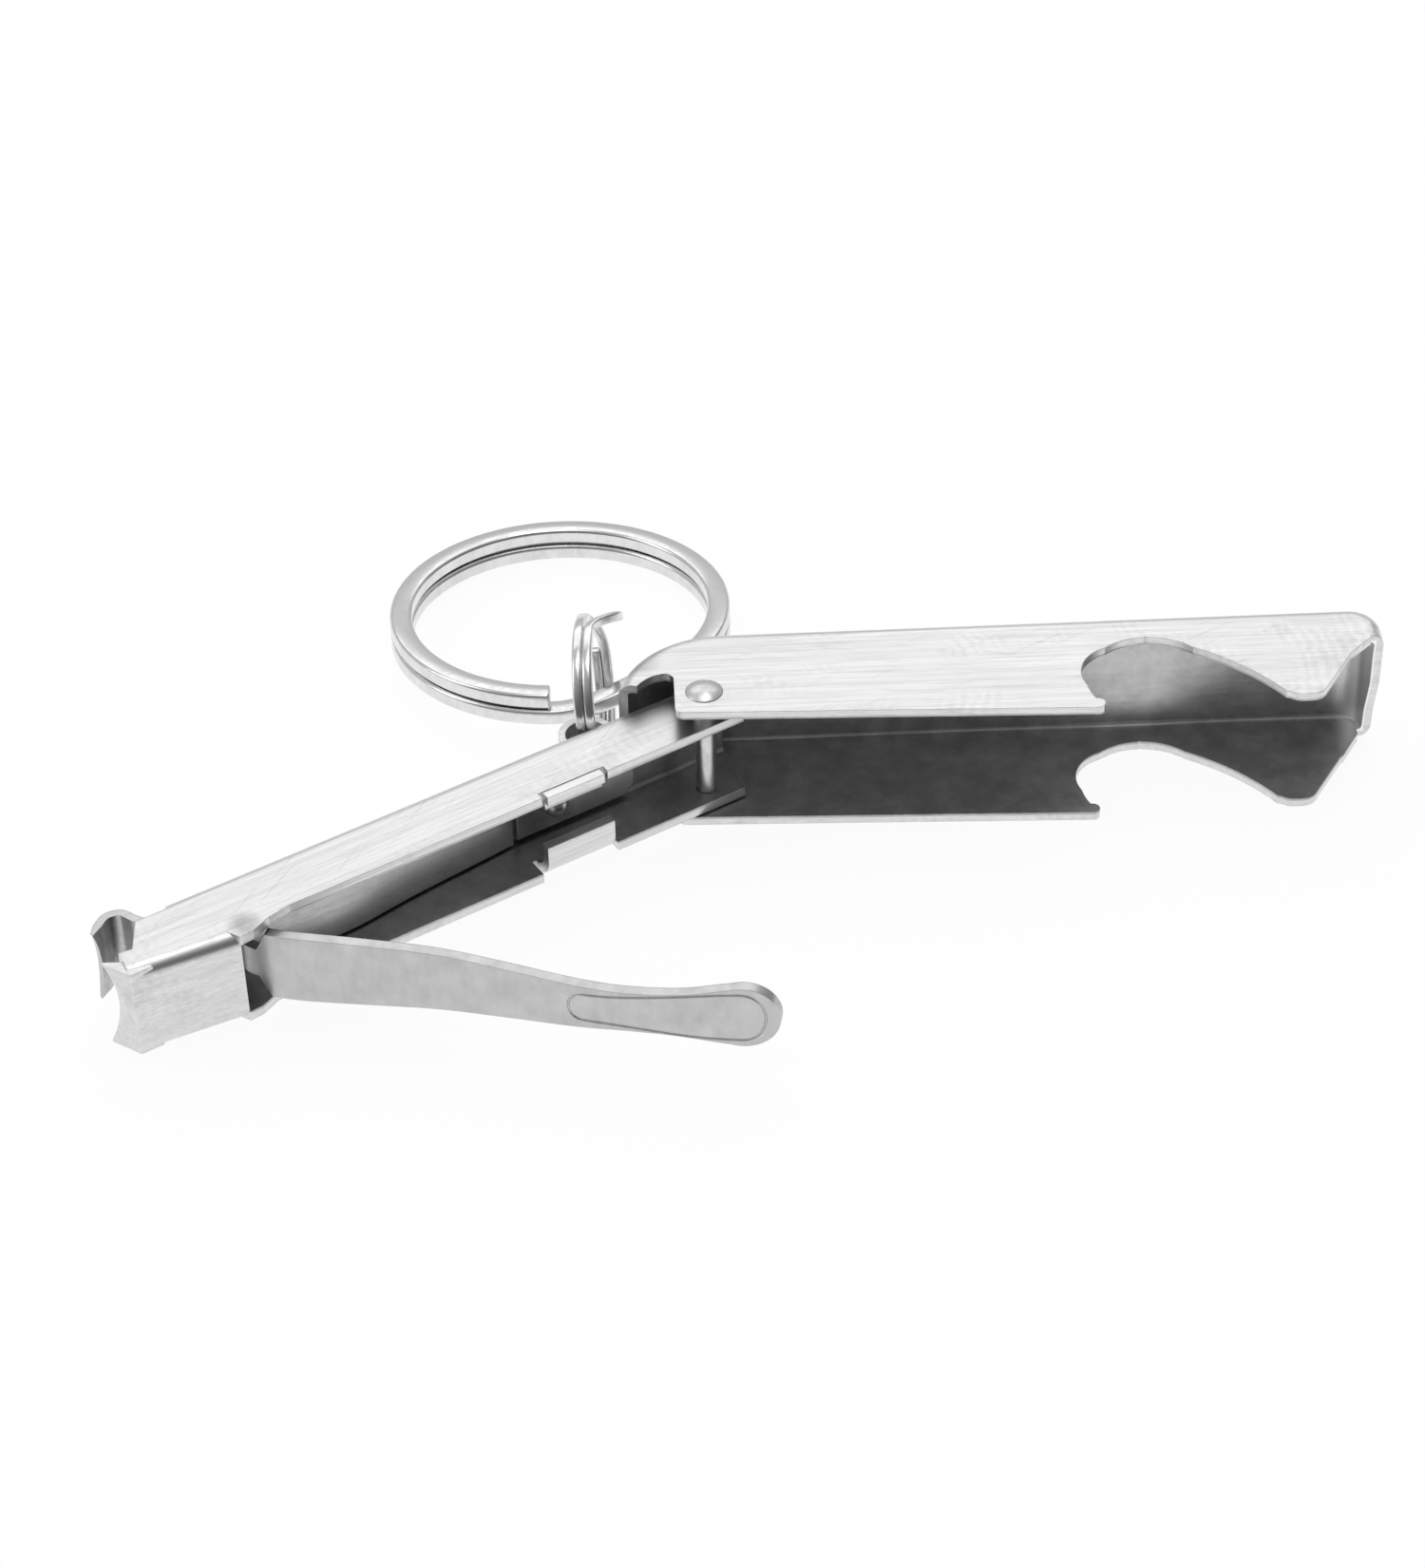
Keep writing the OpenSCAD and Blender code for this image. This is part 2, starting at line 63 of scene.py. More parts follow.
def add_camera():
    ce, se = math.cos(VIEW_ELEVATION), math.sin(VIEW_ELEVATION)
    ca, sa = math.cos(VIEW_AZIMUTH), math.sin(VIEW_AZIMUTH)
    forward = Vector((-sa * ce, ca * ce, -se))
    level = Vector((ca, sa, 0))
    upright = level.cross(forward)
    cr, sr = math.cos(VIEW_ROLL), math.sin(VIEW_ROLL)
    right = cr * level + sr * upright
    up = -sr * level + cr * upright
    data = bpy.data.cameras.new("camera")
    data.sensor_width = SENSOR_MM
    data.lens = LENS_MM
    data.clip_start = 0.01
    data.clip_end = 20
    camera = bpy.data.objects.new("camera", data)
    scene.collection.objects.link(camera)
    place = VIEW_TARGET - forward * VIEW_DISTANCE
    turn = Matrix((right, up, -forward)).transposed().to_4x4()
    camera.matrix_world = Matrix.Translation(place) @ turn
    scene.camera = camera


add_camera()


# ---------------------------------------------------------------- node helpers
EDGE_STARTS = 0.985                           # cosine of the turn where a worn edge begins to show
EDGE_FULL = 0.8


class Shader:
    """One material's node tree, with short calls for the nodes used here."""

    def __init__(self, name):
        self.material = bpy.data.materials.new(name)
        self.material.use_nodes = True
        self.nodes = self.material.node_tree.nodes
        self.links = self.material.node_tree.links
        self.bsdf = self.nodes["Principled BSDF"]
        self.output = self.nodes["Material Output"]

    def add(self, kind, **settings):
        node = self.nodes.new(kind)
        for key, value in settings.items():
            setattr(node, key, value)
        return node

    def feed(self, socket, value):
        if isinstance(value, bpy.types.NodeSocket):
            self.links.new(value, socket)
        else:
            socket.default_value = value

    def coords(self, turn=0.0, stretch=(1, 1, 1)):
        """Object coordinates turned about z by -turn and then stretched."""
        place = self.add("ShaderNodeTexCoord").outputs["Object"]
        if turn:
            rotate = self.add("ShaderNodeVectorRotate", rotation_type="Z_AXIS")
            self.feed(rotate.inputs["Vector"], place)
            rotate.inputs["Angle"].default_value = -turn
            place = rotate.outputs["Vector"]
        scale = self.add("ShaderNodeVectorMath", operation="MULTIPLY")
        self.feed(scale.inputs[0], place)
        scale.inputs[1].default_value = stretch
        return scale.outputs["Vector"]

    def noise(self, vector, detail=2.0, rough=0.5, distort=0.0):
        node = self.add("ShaderNodeTexNoise")
        self.feed(node.inputs["Vector"], vector)
        node.inputs["Scale"].default_value = 1
        node.inputs["Detail"].default_value = detail
        node.inputs["Roughness"].default_value = rough
        node.inputs["Distortion"].default_value = distort
        return node.outputs["Fac"]

    def math(self, operation, a, b=0.0, c=0.0, clamp=False):
        node = self.add("ShaderNodeMath", operation=operation, use_clamp=clamp)
        for socket, value in zip(node.inputs, (a, b, c)):
            self.feed(socket, value)
        return node.outputs["Value"]

    def span(self, value, low, high, to_low=0.0, to_high=1.0, smooth=False):
        node = self.add("ShaderNodeMapRange", clamp=True,
                        interpolation_type="SMOOTHSTEP" if smooth else "LINEAR")
        self.feed(node.inputs["Value"], value)
        numbers = {"From Min": low, "From Max": high, "To Min": to_low, "To Max": to_high}
        for name, number in numbers.items():
            node.inputs[name].default_value = number
        return node.outputs["Result"]

    def mix(self, share, a, b):
        node = self.add("ShaderNodeMix", data_type="RGBA")
        self.feed(node.inputs["Factor"], share)
        for name, value in (("A", a), ("B", b)):
            socket = next(s for s in node.inputs if s.name == name and s.type == "RGBA")
            self.feed(socket, value)
        return next(s for s in node.outputs if s.type == "RGBA")

    def parts(self, vector):
        node = self.add("ShaderNodeSeparateXYZ")
        self.feed(node.inputs["Vector"], vector)
        return node.outputs["X"], node.outputs["Y"], node.outputs["Z"]

    def bump(self, height, strength, distance, normal):
        node = self.add("ShaderNodeBump")
        node.inputs["Strength"].default_value = strength
        node.inputs["Distance"].default_value = distance
        self.feed(node.inputs["Height"], height)
        self.feed(node.inputs["Normal"], normal)
        return node.outputs["Normal"]

    def rounded(self, radius):
        """Normals rounded over the edges, and how much each point is on an edge."""
        bevel = self.add("ShaderNodeBevel", samples=6)
        bevel.inputs["Radius"].default_value = radius
        flat = self.add("ShaderNodeNewGeometry").outputs["Normal"]
        dot = self.add("ShaderNodeVectorMath", operation="DOT_PRODUCT")
        self.feed(dot.inputs[0], bevel.outputs["Normal"])
        self.feed(dot.inputs[1], flat)
        edge = self.span(dot.outputs["Value"], EDGE_STARTS, EDGE_FULL, smooth=True)
        return bevel.outputs["Normal"], edge


COOL_TINT = 1.005                             # steel is a trace bluer than grey


def grey(value):
    return (value, value, value * COOL_TINT, 1)


def box_mask(shader, place, low, high, soft):
    """1 inside the box low..high of the given coordinates, fading over soft."""
    total = None
    for socket, a, b in zip(shader.parts(place), low, high):
        for edge, sign in ((a, 1), (b, -1)):
            if edge is None:
                continue
            step = shader.span(socket, edge - sign * soft, edge + sign * soft, smooth=True)
            total = step if total is None else shader.math("MULTIPLY", total, step)
    return total


# ---------------------------------------------------------------- materials
# Stretches of the noises along, across and up, per metre
FINE_GRAIN = (230, 12000, 12000)
BROAD_GRAIN = (45, 2600, 2600)
CLOUDS = (90, 160, 160)
STAINS = (420, 420, 420)
SWIRL_STRETCH = (1, 1.35, 1)
SWIRL = {"Scale": 330.0, "Distortion": 5.0, "Detail": 3.0, "Detail Scale": 2.2}
# Turn, stretch and the span of noise that shows as a mark
SCRATCHES = ((0.55, (120, 5200, 5200), 0.68, 0.74), (-0.3, (160, 6400, 6400), 0.69, 0.75))
FINE_SHARE = 0.6
BROAD_SHARE = 0.4
SWIRL_SHARE = 0.09
MARK_SHARE = 0.12
SMUDGE_SHARE = 0.22
# how dark the painted shade at the spots gets
SHADE_SPOT_SHARE = 0.6
TONE_LOW = 0.3                                # span of the mixed grain that covers dark to light
TONE_HIGH = 0.7
SHEET_ROUGH_DARK = 0.42
SHEET_ROUGH_LIGHT = 0.27
SHEET_EDGE_R = 0.14 * MM
EDGE_TONE = 0.9                               # tone of a worn edge
MASK_SOFT = 0.04 * MM
BUMP_DEPTH = 0.02 * MM
PAINTED_WINDOW_TONE = 0.95                           # lightest tone of the inner steel, painted light from the cap cut-out


def sheet_marks(s, turn):
    """Sparse scratches at two slants to the grain."""
    found = [s.span(s.noise(s.coords(turn + slant, stretch), detail=1), low, high)
             for slant, stretch, low, high in SCRATCHES]
    return s.math("ADD", *found, clamp=True)


def sheet_swirl(s, turn, cloud):
    """Faint arcs of the polishing wheel, in patches."""
    swirl = s.add("ShaderNodeTexWave", wave_type="RINGS", rings_direction="Z")
    s.feed(swirl.inputs["Vector"], s.coords(turn, SWIRL_STRETCH))
    for key, value in SWIRL.items():
        swirl.inputs[key].default_value = value
    patches = s.span(cloud, 0.47, 0.62, smooth=True)
    return s.math("MULTIPLY", s.math("SUBTRACT", swirl.outputs["Fac"], 0.5), patches)


def painted_shade_spot(s, turn, colour, stain, dark, spot, reach):
    """The colour with patchy painted shade within reach of a spot."""
    gap = s.add("ShaderNodeVectorMath", operation="DISTANCE")
    s.feed(gap.inputs[0], s.coords(turn))
    gap.inputs[1].default_value = spot
    near = s.span(gap.outputs["Value"], reach, reach * 0.25, smooth=True)
    patchy = s.math("MULTIPLY", near, s.span(stain, 0.3, 0.6, 0.5, 1.0))
    return s.mix(s.math("MULTIPLY", patchy, SHADE_SPOT_SHARE), colour, grey(dark * 0.42))


def brushed_sheet(name, turn, light, dark, inside=None, inside_light=None, arcs=1.0,
                  left_out=(), glow=None, shade_spots=()):
    """Sheet steel with a lengthwise grain, faint polishing arcs, stains and bright worn edges.

    inside is a box with a rougher inner finish darkened by painted shade, left_out are boxes
    within it kept at the outer tone, and glow makes the mask of painted light inside. The spots
    are places (centre, reach) with patchy painted shade.
    """
    s = Shader(name)
    fine = s.noise(s.coords(turn, FINE_GRAIN), detail=3, rough=0.6)
    broad = s.noise(s.coords(turn, BROAD_GRAIN))
    cloud = s.noise(s.coords(turn, CLOUDS), detail=3, distort=0.6)
    stain = s.noise(s.coords(turn, STAINS), detail=4, rough=0.65)
    marks = sheet_marks(s, turn)
    swirl = sheet_swirl(s, turn, cloud)
    broad = s.math("MULTIPLY", broad, BROAD_SHARE)
    tone = s.math("ADD", s.math("MULTIPLY", fine, FINE_SHARE), broad)
    tone = s.math("ADD", tone, s.math("MULTIPLY", swirl, SWIRL_SHARE * arcs))
    tone = s.math("SUBTRACT", tone, s.math("MULTIPLY", marks, MARK_SHARE))
    colour = s.mix(s.span(tone, TONE_LOW, TONE_HIGH), grey(dark), grey(light))
    smudge = s.span(s.math("MULTIPLY", stain, cloud), 0.3, 0.42, smooth=True)
    colour = s.mix(s.math("MULTIPLY", smudge, SMUDGE_SHARE), colour, grey(dark * 0.7))
    # painted shade at the given spots
    for spot, reach in shade_spots:
        colour = painted_shade_spot(s, turn, colour, stain, dark, spot, reach)
    normal, edge = s.rounded(SHEET_EDGE_R)
    rough = s.span(tone, TONE_LOW, TONE_HIGH, SHEET_ROUGH_DARK, SHEET_ROUGH_LIGHT)
    # The inner steel: a rougher finish, darkened by painted shade
    if inside is not None:
        place = s.coords(turn)
        mask = box_mask(s, place, *inside, MASK_SOFT)
        for box in left_out:
            kept = s.math("SUBTRACT", 1.0, box_mask(s, place, *box, MASK_SOFT))
            mask = s.math("MULTIPLY", mask, kept)
        spread = s.span(stain, 0.35, 0.65)
        inner_shade_and_light = s.mix(spread, grey(inside_light * 0.8), grey(inside_light * 1.1))
        # painted light through the cap cut-out and on the end wall's inner face
        if glow is not None:
            inner_shade_and_light = s.mix(glow(s, place), inner_shade_and_light, grey(PAINTED_WINDOW_TONE))
        colour = s.mix(mask, colour, inner_shade_and_light)
        rough = s.math("ADD", rough, s.math("MULTIPLY", mask, 0.04))
    colour = s.mix(s.math("MULTIPLY", edge, 0.7), colour, grey(EDGE_TONE))
    rough = s.math("SUBTRACT", rough, s.math("MULTIPLY", edge, 0.06))
    height = s.math("SUBTRACT", tone, s.math("MULTIPLY", marks, 0.3))
    s.feed(s.bsdf.inputs["Base Color"], colour)
    s.feed(s.bsdf.inputs["Roughness"], rough)
    s.feed(s.bsdf.inputs["Normal"], s.bump(height, 0.35, BUMP_DEPTH, normal))
    s.bsdf.inputs["Metallic"].default_value = 1
    return s.material


def turned_steel(name, light, dark, low_rough, high_rough, edge_radius, scale=2600):
    """Small bright part with fine overall marks."""
    s = Shader(name)
    grain = s.noise(s.coords(0, (scale, scale, scale * 0.4)), detail=3, rough=0.6)
    cloud = s.noise(s.coords(0, (500, 500, 500)))
    tone = s.math("ADD", s.math("MULTIPLY", grain, 0.5), s.math("MULTIPLY", cloud, 0.5))
    normal, edge = s.rounded(edge_radius)
    colour = s.mix(s.span(tone, 0.35, 0.65), grey(dark), grey(light))
    colour = s.mix(s.math("MULTIPLY", edge, 0.6), colour, grey(EDGE_TONE))
    s.feed(s.bsdf.inputs["Base Color"], colour)
    s.feed(s.bsdf.inputs["Roughness"], s.span(tone, 0.35, 0.65, high_rough, low_rough))
    s.feed(s.bsdf.inputs["Normal"], s.bump(tone, 0.25, BUMP_DEPTH, normal))
    s.bsdf.inputs["Metallic"].default_value = 1
    return s.material


HANDLE_T = 0.8 * MM
BODY_T = 0.9 * MM
handle_lo, handle_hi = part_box("opener_handle")
body_lo, body_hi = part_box("clipper_body")

FLANGE_SHARE = 0.75                           # share of the sheet's thickness with the outer finish
WALL_SHARE = 0.8
# Inside the handle's channel: a rougher inner finish darkened by painted shade
handle_inside = (
    (None, None, handle_lo.z + FLANGE_SHARE * HANDLE_T),
    (handle_hi.x - WALL_SHARE * HANDLE_T, handle_hi.y - WALL_SHARE * HANDLE_T,
     handle_hi.z - FLANGE_SHARE * HANDLE_T),
)
WINDOW_SHARE = 0.1                            # how much of the painted light the back wall takes
WINDOW_SLANT = 1.15                           # how far the painted lit patch's edge moves along per height


def painted_window_light(s, place):
    """Painted light: back wall behind the cap cut-out, up to a slant, and the end wall's inner
    face.
    """
    x, y, z = s.parts(place)
    slant = s.math("SUBTRACT", x, s.math("MULTIPLY", z, WINDOW_SLANT))
    lit = s.math("MULTIPLY", s.span(x, 24 * MM, 32 * MM, smooth=True),
                 s.span(slant, 38.4 * MM, 37.4 * MM, 0.0, WINDOW_SHARE, smooth=True))
    back = s.span(y, handle_hi.y - 2.6 * MM, handle_hi.y - 1.4 * MM)
    end = s.span(x, handle_hi.x - 3.6 * MM, handle_hi.x - 1.2 * MM, smooth=True)
    return s.math("MAXIMUM", s.math("MULTIPLY", lit, back), end)


# Places of painted shade on the curl's shoulder
shoulder_spots = [(Vector((-5.6, 4.6, 11.8)) * MM, 2.6 * MM),
                  (Vector((-4.4, 6.4, 11.8)) * MM, 2.0 * MM)]
handle_steel = brushed_sheet("handle_steel", 0, light=0.82, dark=0.60, inside=handle_inside,
                             inside_light=0.50, glow=painted_window_light, shade_spots=shoulder_spots)

# The clipper's boxes and spot are in its own directions: x along it, y across it
# Inside the clipper: a rougher inner finish darkened by painted shade, except the lip
body_inside = ((-45.4 * MM, -3.4 * MM, body_lo.z + FLANGE_SHARE * BODY_T),
               (None, 3.6 * MM, body_hi.z - FLANGE_SHARE * BODY_T))
lip_box = ((-17.1 * MM, -3.4 * MM, body_lo.z - MM),
           (-10.4 * MM, -0.4 * MM, body_lo.z + 4 * MM))
# A place of painted shade at the jaw
jaw_spots = [(Vector((-44.6, -1.9, 9.7)) * MM, 1.9 * MM)]
body_steel = brushed_sheet("clipper_steel", OPEN_ANGLE, light=0.80, dark=0.58, inside=body_inside,
                           inside_light=0.52, arcs=0.7, left_out=[lip_box], shade_spots=jaw_spots)
spring_steel = brushed_sheet("spring_steel", OPEN_ANGLE, light=0.62, dark=0.42, arcs=0.2)
# The anchor below its top: a rougher inner finish darkened by painted shade
anchor_inside = ((None, None, None), (None, None, body_hi.z - 1.4 * MM))
anchor_steel = brushed_sheet("anchor_steel", OPEN_ANGLE, light=0.84, dark=0.62,
                             inside=anchor_inside, inside_light=0.52, arcs=0.2)
rivet_steel = turned_steel("rivet_steel", light=0.74, dark=0.55, low_rough=0.26, high_rough=0.40,
                           edge_radius=0.12 * MM)
plate = turned_steel("plated_wire", light=0.80, dark=0.68, low_rough=0.13, high_rough=0.26,
                     edge_radius=0.05 * MM, scale=1800)

CAD_MATERIALS = {
    "opener_handle": handle_steel,
    "clipper_body": body_steel,
    "jaw_arm": spring_steel,
    "jaw_anchor": anchor_steel,
    "pivot_rivet": rivet_steel,
    "anchor_rivet": rivet_steel,
}
for node_name, material in CAD_MATERIALS.items():
    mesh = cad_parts[node_name].data
    mesh.materials.clear()
    mesh.materials.append(material)


# ---------------------------------------------------------------- mesh helpers
def new_piece(name, mesh_build, material):
    mesh = bpy.data.meshes.new(name)
    bm = bmesh.new()
    mesh_build(bm)
    bmesh.ops.recalc_face_normals(bm, faces=bm.faces)
    bm.to_mesh(mesh)
    bm.free()
    mesh.materials.append(material)
    piece = bpy.data.objects.new(name, mesh)
    scene.collection.objects.link(piece)
    return piece


def smooth_by_angle(piece, degrees):
    mesh = piece.data
    mesh.polygons.foreach_set("use_smooth", [True] * len(mesh.polygons))
    mesh.set_sharp_from_angle(angle=math.radians(degrees))


def ring_frame(node):
    """Centre and axis of a ring node, found from its own mesh."""
    points = np.array([v.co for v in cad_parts[node].data.vertices], float)
    low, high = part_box(node)
    centre = np.array((low + high) / 2)
    _, vectors = np.linalg.eigh(np.cov((points - centre).T))
    return Vector(centre), Vector(vectors[:, 0])


def rounded_rect(width, height, radius, steps=4):
    """Section points (across, up) of a rectangle with rounded corners."""
    points = []
    for sx, sy, start in ((1, 1, 0), (-1, 1, 90), (-1, -1, 180), (1, -1, 270)):
        for k in range(steps + 1):
            angle = math.radians(start + 90 * k / steps)
            points.append((sx * (width / 2 - radius) + radius * math.cos(angle),
                           sy * (height / 2 - radius) + radius * math.sin(angle)))
    return points


END_TAPER = (0.72, 0.9, 0.98)                 # size of the wire's section at its first stations


def coil(name, section, stations, centre, axis, side, material):
    """A wire of the given section along stations (angle, radius, height), rounded at its ends."""
    across = axis.cross(side)

    def build(bm):
        rings = []
        count = len(stations)
        for i, (angle, radius, height) in enumerate(stations):
            out = side * math.cos(angle) + across * math.sin(angle)
            from_end = min(i, count - 1 - i)
            shrink = END_TAPER[from_end] if from_end < len(END_TAPER) else 1.0
            ring = []
            for u, v in section:
                point = centre + out * (radius + u * shrink) + axis * (height + v * shrink)
                ring.append(bm.verts.new(point))
            rings.append(ring)
        for a, b in zip(rings, rings[1:]):
            for k in range(len(section)):
                n = (k + 1) % len(section)
                bm.faces.new((a[k], a[n], b[n], b[k]))
        bm.faces.new(rings[0])
        bm.faces.new(list(reversed(rings[-1])))

    return new_piece(name, build, material)


TIP_STOPS = (0, 0.25, 0.6)                    # shares of an end's rounded arc that have a station


def ease(t):
    t = min(max(t, 0.0), 1.0)
    return t * t * (3 - 2 * t)


def end_stations(total, step, tip):
    """Positions along a coil: even steps, with three close ones at each end for its rounding."""
    inner = max(2, round((total - 2 * tip) / step))
    middle = [tip + (total - 2 * tip) * k / inner for k in range(inner + 1)]
    first = [tip * share for share in TIP_STOPS]
    return first + middle + [total - t for t in reversed(first)]


# ---------------------------------------------------------------- key ring
KEY_OD = 30.5 * MM
KEY_WIRE_W = 2.0 * MM
KEY_WIRE_H = 1.45 * MM
KEY_LEVEL = 0.83 * MM                         # height of each turn's middle off the ring's
KEY_UPPER_END = math.radians(-93.5)           # where the upper turn is cut off
KEY_LOWER_END = math.radians(-56)
KEY_CORNER_R = 0.38 * MM
KEY_STEP = math.radians(2.5)
KEY_TIP = math.radians(1.0)                   # arc over which each end is rounded
WIRE_SMOOTH_DEG = 40


def make_key_ring():
    centre, axis = ring_frame("key_ring")
    if axis.z < 0:
        axis = -axis
    side = Vector((1, 0, 0))
    side = (side - axis * side.dot(axis)).normalized()
    rise = KEY_LOWER_END - KEY_UPPER_END
    total = 4 * math.pi - rise
    radius = (KEY_OD - KEY_WIRE_W) / 2
    stations = []
    for t in end_stations(total, KEY_STEP, KEY_TIP):
        into = (t - (2 * math.pi - rise)) / rise
        height = -KEY_LEVEL + 2 * KEY_LEVEL * ease(into)
        stations.append((KEY_LOWER_END + t, radius, height))
    section = rounded_rect(KEY_WIRE_W, KEY_WIRE_H, KEY_CORNER_R)
    piece = coil("key_ring_turns", section, stations, centre, axis, side, plate)
    smooth_by_angle(piece, WIRE_SMOOTH_DEG)
    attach(piece, "ring")
    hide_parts("key_ring")


# ---------------------------------------------------------------- small split ring
LINK_OD = 14.0 * MM
LINK_WIRE = 0.86 * MM
LINK_LEVEL = 0.43 * MM
LINK_FREE_END = math.radians(128)             # angle of the sprung end, from the front over the top
LINK_BACK_END = math.radians(181)
LINK_SPRING = 2.1 * MM                        # how far the free end stands out sideways
LINK_SPRING_ARC = math.radians(34)
LINK_CORNER_R = 0.24 * MM
LINK_FLAT = 0.98                              # the wire's height as a share of its width
LINK_STEP = math.radians(4)
LINK_TIP = math.radians(2.2)


def make_link_ring():
    centre, axis = ring_frame("link_ring")
    if axis.x < 0:
        axis = -axis
    side = Vector((0, 0, 1)).cross(axis)
    if side.y > 0:
        side = -side
    upward = axis.cross(side)
    flip = 1 if upward.z > 0 else -1
    radius = (LINK_OD - LINK_WIRE) / 2
    cross_over = LINK_BACK_END - LINK_FREE_END
    total = 4 * math.pi - cross_over
    stations = []
    for t in end_stations(total, LINK_STEP, LINK_TIP):
        into = (t - (2 * math.pi - cross_over)) / cross_over
        height = LINK_LEVEL - 2 * LINK_LEVEL * ease(into)
        height += LINK_SPRING * ease(1 - t / LINK_SPRING_ARC)
        stations.append(((LINK_FREE_END - t) * flip, radius, height))
    section = rounded_rect(LINK_WIRE, LINK_WIRE * LINK_FLAT, LINK_CORNER_R, 3)
    piece = coil("link_ring_turns", section, stations, centre, axis, side, plate)
    smooth_by_angle(piece, WIRE_SMOOTH_DEG)
    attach(piece, "link")
    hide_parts("link_ring")


make_key_ring()
make_link_ring()


# ---------------------------------------------------------------- lever
FULCRUM = Vector((-35.519, -24.375, 5.425)) * MM
LEVER_ANGLE = OPEN_ANGLE - math.radians(44)   # the opened lever's line in the model
COIN_START = 25.6 * MM                        # the coined oval's ends, from the fulcrum
COIN_END = 38.2 * MM
COIN_HALF_START = 1.35 * MM
COIN_HALF_END = 2.35 * MM
COIN_GROOVE_R = 0.13 * MM
COIN_FAR_ROUND = 0.78                         # length of each round end over its half height
COIN_NEAR_ROUND = 0.9
GROOVE_SIDES = 8
LEVER_SMOOTH_DEG = 32
RAY_START = 8 * MM                            # how far outside the lever its face's rays begin
WELD = 1e-7
BROAD_OUT = 0.8                               # a broad face's normal: least outward, most upward
BROAD_UP = 0.05
OUTER_OUT = 0.5                               # the same for the outer facets that give the slope
OUTER_UP = 0.1


def coin_outline(count=18, far_count=14, near_count=10):
    """Closed outline (along, up) of the oval pressed into the lever's thumb pad."""
    side = []
    for k in range(count + 1):
        u = COIN_START + (COIN_END - COIN_START) * k / count
        t = ease((u - COIN_START) / (COIN_END - COIN_START))
        side.append((u, COIN_HALF_START + (COIN_HALF_END - COIN_HALF_START) * t))
    far = []
    for k in range(1, far_count):
        a = math.pi * k / far_count
        far.append((COIN_END + COIN_HALF_END * math.sin(a) * COIN_FAR_ROUND,
                    COIN_HALF_END * math.cos(a)))
    near = []
    for k in range(1, near_count):
        a = math.pi * k / near_count
        near.append((COIN_START - COIN_HALF_START * math.sin(a) * COIN_NEAR_ROUND,
                     -COIN_HALF_START * math.cos(a)))
    return side + far + [(u, -h) for u, h in reversed(side)] + near


def plate_normals(mesh, slopes, along, outward):
    """Smooth normals on the plate's two broad faces, from its slope along its length."""
    places, angles = (np.array(column) for column in zip(*slopes))
    normals = [Vector(corner.vector) for corner in mesh.corner_normals]
    for face in mesh.polygons:
        facing = face.normal.dot(outward)
        if abs(face.normal.z) > BROAD_UP or abs(facing) < BROAD_OUT:
            continue
        for corner in face.loop_indices:
            point = mesh.vertices[mesh.loops[corner].vertex_index].co
            angle = float(np.interp((point - FULCRUM).dot(along), places, angles))
            normal = outward * math.cos(angle) + along * math.sin(angle)
            normals[corner] = normal if facing > 0 else -normal
    mesh.normals_split_custom_set(normals)


def make_lever():
    """The lever's own shape, with the oval line pressed into its outer face."""
    along = Vector((math.cos(LEVER_ANGLE), math.sin(LEVER_ANGLE), 0))
    outward = Vector((math.sin(LEVER_ANGLE), -math.cos(LEVER_ANGLE), 0))
    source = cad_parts["lever"]
    shape = bmesh.new()
    shape.from_mesh(source.data)
    shape.transform(source.matrix_world)
    bmesh.ops.remove_doubles(shape, verts=shape.verts, dist=WELD)
    surface = BVHTree.FromBMesh(shape)
    outer = [f for f in shape.faces
             if abs(f.normal.z) < OUTER_UP and f.normal.dot(outward) > OUTER_OUT]
    slopes = sorted(((f.calc_center_median() - FULCRUM).dot(along),
                     math.atan2(f.normal.dot(along), f.normal.dot(outward)))
                    for f in outer)
    line = []
    for u, h in coin_outline():
        start = FULCRUM + along * u + Vector((0, 0, h)) + outward * RAY_START
        hit, normal, _, _ = surface.ray_cast(start, -outward)
        line.append((hit, normal))
    shape_mesh = bpy.data.meshes.new("lever_plate")
    shape.to_mesh(shape_mesh)
    shape.free()
    piece = bpy.data.objects.new("lever_plate", shape_mesh)
    scene.collection.objects.link(piece)

    def groove(bm):
        rings = []
        count = len(line)
        for i, (point, normal) in enumerate(line):
            ahead = (line[(i + 1) % count][0] - line[i - 1][0]).normalized()
            across = ahead.cross(normal).normalized()
            ring = []
            for k in range(GROOVE_SIDES):
                a = 2 * math.pi * (k + 0.5) / GROOVE_SIDES
                offset = across * math.cos(a) + normal * math.sin(a)
                ring.append(bm.verts.new(point + offset * COIN_GROOVE_R))
            rings.append(ring)
        for i in range(count):
            a, b = rings[i], rings[(i + 1) % count]
            for k in range(GROOVE_SIDES):
                n = (k + 1) % GROOVE_SIDES
                bm.faces.new((a[k], a[n], b[n], b[k]))

    cutter = new_piece("coin_groove", groove, satin)
    cut = piece.modifiers.new("cut", "BOOLEAN")
    cut.object = cutter
    cut.operation = "DIFFERENCE"
    cut.solver = "EXACT"
    bpy.context.view_layer.update()
    evaluated = piece.evaluated_get(bpy.context.evaluated_depsgraph_get())
    cut_mesh = bpy.data.meshes.new_from_object(evaluated)
    piece.modifiers.clear()
    piece.data = cut_mesh
    bpy.data.objects.remove(cutter)
    piece.data.materials.clear()
    piece.data.materials.append(satin)
    smooth_by_angle(piece, LEVER_SMOOTH_DEG)
    plate_normals(piece.data, slopes, along, outward)
    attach(piece, "lever")
    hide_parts("lever")


satin = turned_steel("satin_lever", light=0.57, dark=0.48, low_rough=0.27, high_rough=0.36,
                     edge_radius=0.12 * MM, scale=1200)
make_lever()


# ---------------------------------------------------------------- studio
LIGHT_AIM = Vector((0, 0, 0.005))
